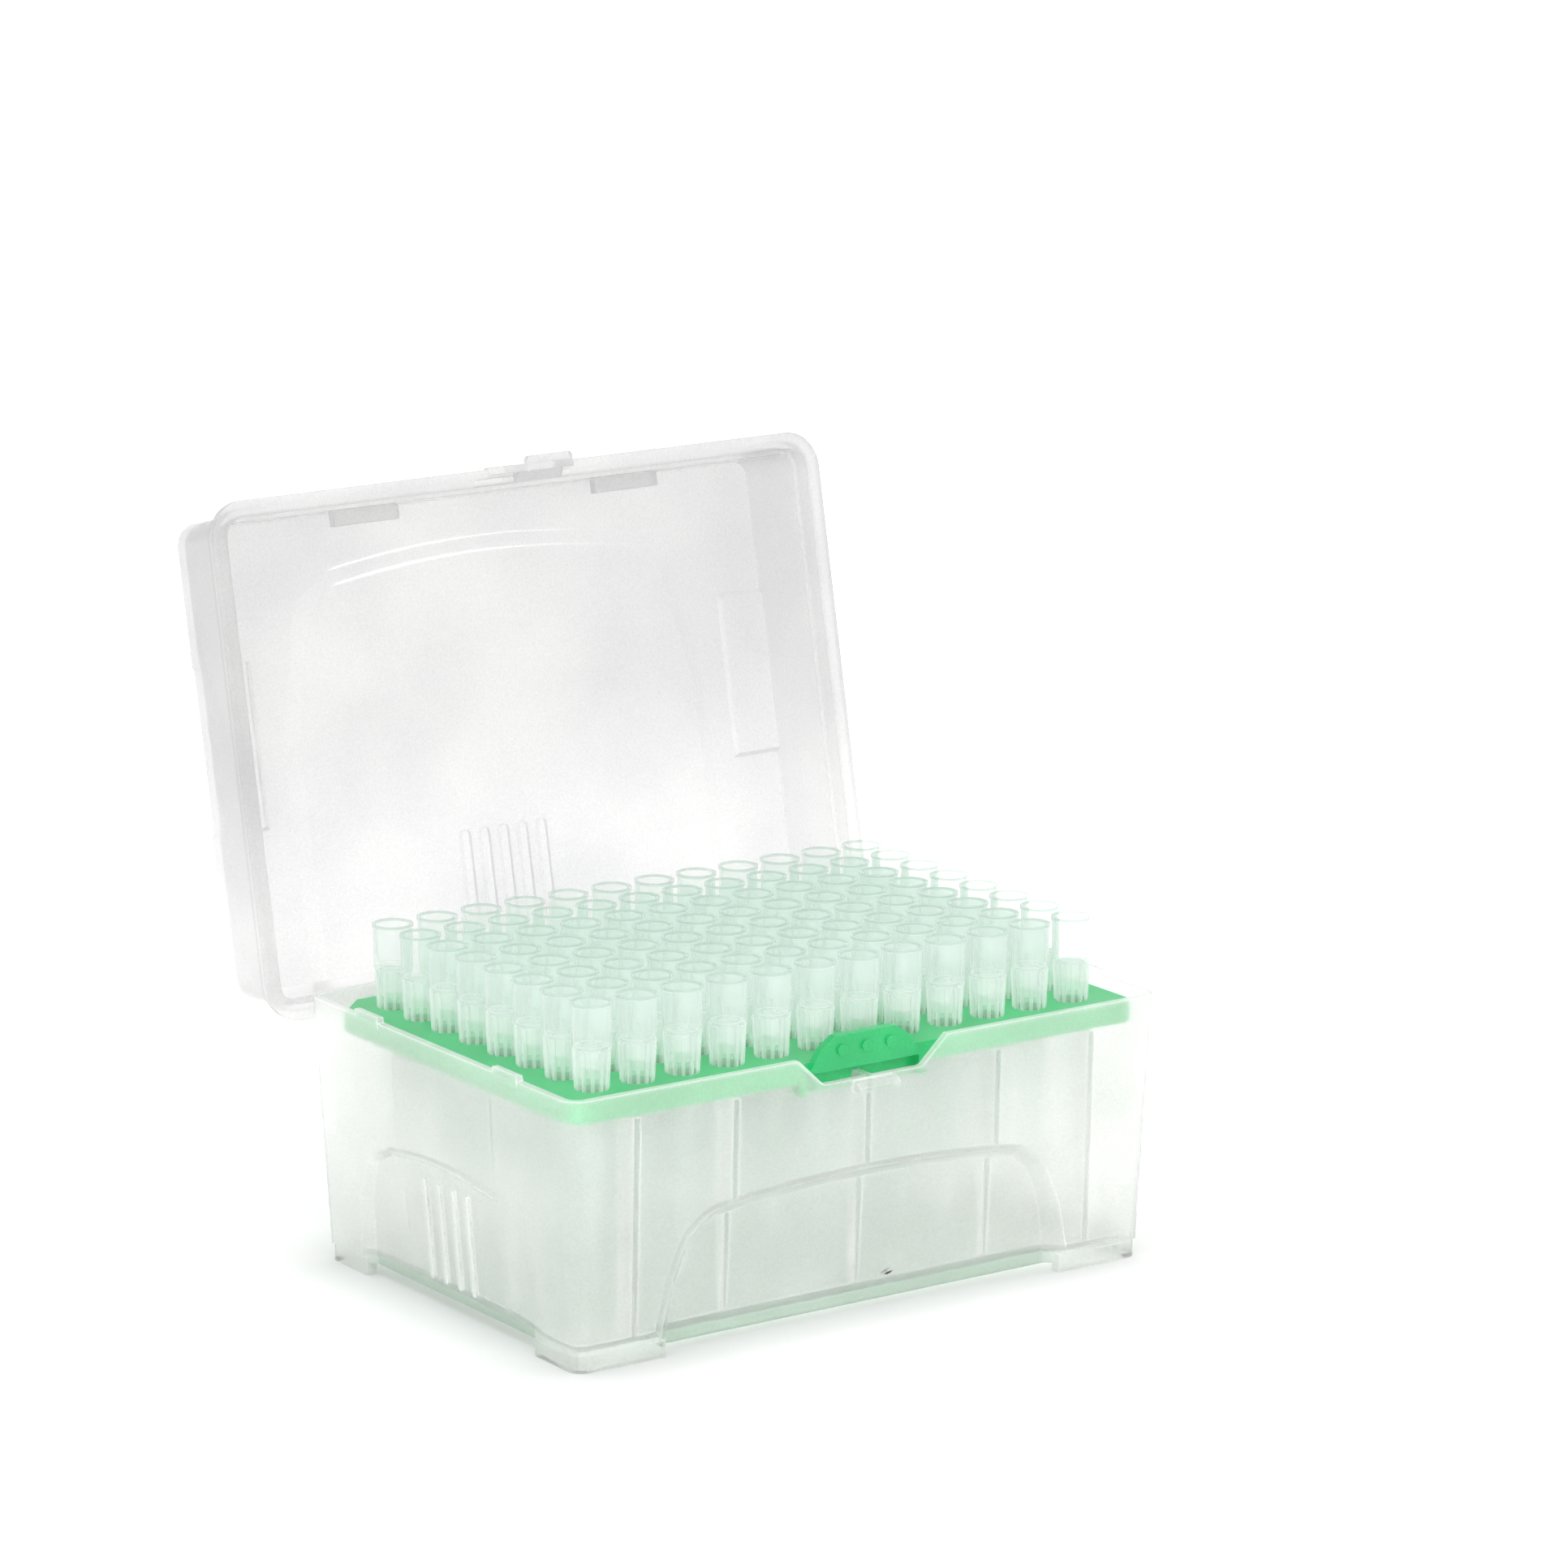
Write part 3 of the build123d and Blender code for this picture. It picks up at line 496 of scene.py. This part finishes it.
# tips: clear polypropylene in a polished tool, thin enough to see straight through
# One wall is nearly clear and shows best where it is seen edge on. Many walls one behind another
# turn to pale haze.
tipPlastic = {
    "colour": "E3ECE7",
    "denseColour": "DCE7E1",
    "cloud": 5.0,                # mm
    "roughness": 0.12,
    "ior": 1.45,
    "coverFacing": 0.12,         # share of a wall that can't be seen through, straight on
    "coverEdgeOn": 0.6,
    "edgeOnFrom": 0.3,           # 0 is straight on, 1 is edge on
    "hazeFrom": 2.0,             # walls already passed where the haze starts
    "hazeFull": 6.0,
    "lipHeight": 0.4,            # mm, the thick lip at the top shows as a fine line
    "lipCover": 0.42,
    # painted shade: the lip is painted darker as a fine line, partly for its thicker plastic
    "lipShadeColour": "BBD0C4",
    "ribTop": 7.9,               # mm below the top of the tip, where the ribs start
    "ribRadius": 2.6,            # mm from the tip's axis
    "ribCover": 0.45,
    "pitch": 9.0,                # mm between tips
}


def polishedTipPolypropylene(look):
    material, tree = emptyMaterial("clearTipPolypropylene")
    place = addNode(tree, "ShaderNodeTexCoord")
    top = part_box("tips_column_01")[1][2]
    parts = addNode(tree, "ShaderNodeSeparateXYZ", links={"Vector": place.outputs["Object"]})
    lip = addNode(tree, "ShaderNodeMath", {1: top - look["lipHeight"] * mm},
                  {0: parts.outputs["Z"]}, operation="GREATER_THAN")
    below = addNode(tree, "ShaderNodeMath", {1: top - look["ribTop"] * mm},
                    {0: parts.outputs["Z"]}, operation="LESS_THAN")
    # distance from the nearest tip's axis: x and y wrapped to half a pitch each way
    half = look["pitch"] / 2 * mm
    moved = addNode(tree, "ShaderNodeVectorMath", {1: (half, half, 0.0)},
                    {0: place.outputs["Object"]}, operation="ADD")
    wrapped = addNode(tree, "ShaderNodeVectorMath",
                      {1: (half, half, 1.0), 2: (-half, -half, -1.0)},
                      {0: moved.outputs["Vector"]}, operation="WRAP")
    flat = addNode(tree, "ShaderNodeVectorMath", {1: (1.0, 1.0, 0.0)},
                   {0: wrapped.outputs["Vector"]}, operation="MULTIPLY")
    radius = addNode(tree, "ShaderNodeVectorMath", links={0: flat.outputs["Vector"]},
                     operation="LENGTH")
    outer = addNode(tree, "ShaderNodeMath", {1: look["ribRadius"] * mm},
                    {0: radius.outputs["Value"]}, operation="GREATER_THAN")
    rib = addNode(tree, "ShaderNodeMath", links={0: outer.outputs[0], 1: below.outputs[0]},
                  operation="MULTIPLY")
    ribCover = addNode(tree, "ShaderNodeMath", {1: look["ribCover"]}, {0: rib.outputs[0]},
                       operation="MULTIPLY")
    lipCover = addNode(tree, "ShaderNodeMath", {1: look["lipCover"]}, {0: lip.outputs[0]},
                       operation="MULTIPLY")
    thick = addNode(tree, "ShaderNodeMath",
                    links={0: ribCover.outputs[0], 1: lipCover.outputs[0]}, operation="MAXIMUM")
    edgeOn = addNode(tree, "ShaderNodeLayerWeight", {"Blend": 0.5})
    wall = addNode(tree, "ShaderNodeMapRange",
                   {"From Min": look["edgeOnFrom"], "To Min": look["coverFacing"],
                    "To Max": look["coverEdgeOn"]},
                   {"Value": edgeOn.outputs["Facing"]}, interpolation_type="SMOOTHSTEP")
    passed = addNode(tree, "ShaderNodeLightPath")
    haze = addNode(tree, "ShaderNodeMapRange",
                   {"From Min": look["hazeFrom"], "From Max": look["hazeFull"]},
                   {"Value": passed.outputs["Transparent Depth"]})
    dense = addNode(tree, "ShaderNodeMath", links={0: wall.outputs[0], 1: thick.outputs[0]},
                    operation="MAXIMUM")
    cover = addNode(tree, "ShaderNodeMath", links={0: dense.outputs[0], 1: haze.outputs[0]},
                    operation="MAXIMUM")
    colour = addNode(tree, "ShaderNodeMix", {"B": linearColour(look["lipShadeColour"])},
                     {"Factor": lip.outputs[0], "A": mottle(tree, place, look)},
                     data_type="RGBA")
    shader = addNode(tree, "ShaderNodeBsdfPrincipled",
                     {"Roughness": look["roughness"], "IOR": look["ior"]},
                     {"Base Color": colour.outputs["Result"], "Alpha": cover.outputs[0]})
    addNode(tree, "ShaderNodeOutputMaterial", links={"Surface": shader.outputs[0]})
    return material


# filters: sintered polyethylene beads, a white open grain
filterPlastic = {
    "colour": "DDE9E1",
    "denseColour": "CFDDD4",
    "cloud": 2.0,                # mm
    "roughness": 0.75,
    "ior": 1.5,
    "cover": 0.3,                # how much the filter shows through the tip round it
    "grain": 0.3,                # mm, beads of 0.15 mm drawn coarser so they show
    "grainHeight": 0.05,         # mm
}


def sinteredBeads(look):
    material, tree = emptyMaterial("sinteredPolyethylene")
    place = addNode(tree, "ShaderNodeTexCoord")
    beads = addNode(tree, "ShaderNodeTexVoronoi", {"Scale": perMillimetre(look["grain"])},
                    {"Vector": place.outputs["Object"]})
    bump = addNode(tree, "ShaderNodeBump", {"Distance": look["grainHeight"] * mm},
                   {"Height": beads.outputs["Distance"]}, invert=True)
    shader = addNode(tree, "ShaderNodeBsdfPrincipled",
                     {"Roughness": look["roughness"], "IOR": look["ior"], "Alpha": look["cover"]},
                     {"Base Color": mottle(tree, place, look), "Normal": bump.outputs["Normal"]})
    addNode(tree, "ShaderNodeOutputMaterial", links={"Surface": shader.outputs[0]})
    return material


tipMaterial = polishedTipPolypropylene(tipPlastic)
filterMaterial = sinteredBeads(filterPlastic)
for nodeName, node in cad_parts.items():
    if nodeName.startswith("tips_column"):
        dress(nodeName, tipMaterial)
    elif nodeName.startswith("filters_column"):
        dress(nodeName, filterMaterial)
    else:
        continue
    node.visible_shadow = False  # walls this thin and clear hardly dim the light
print("tips and filters dressed")
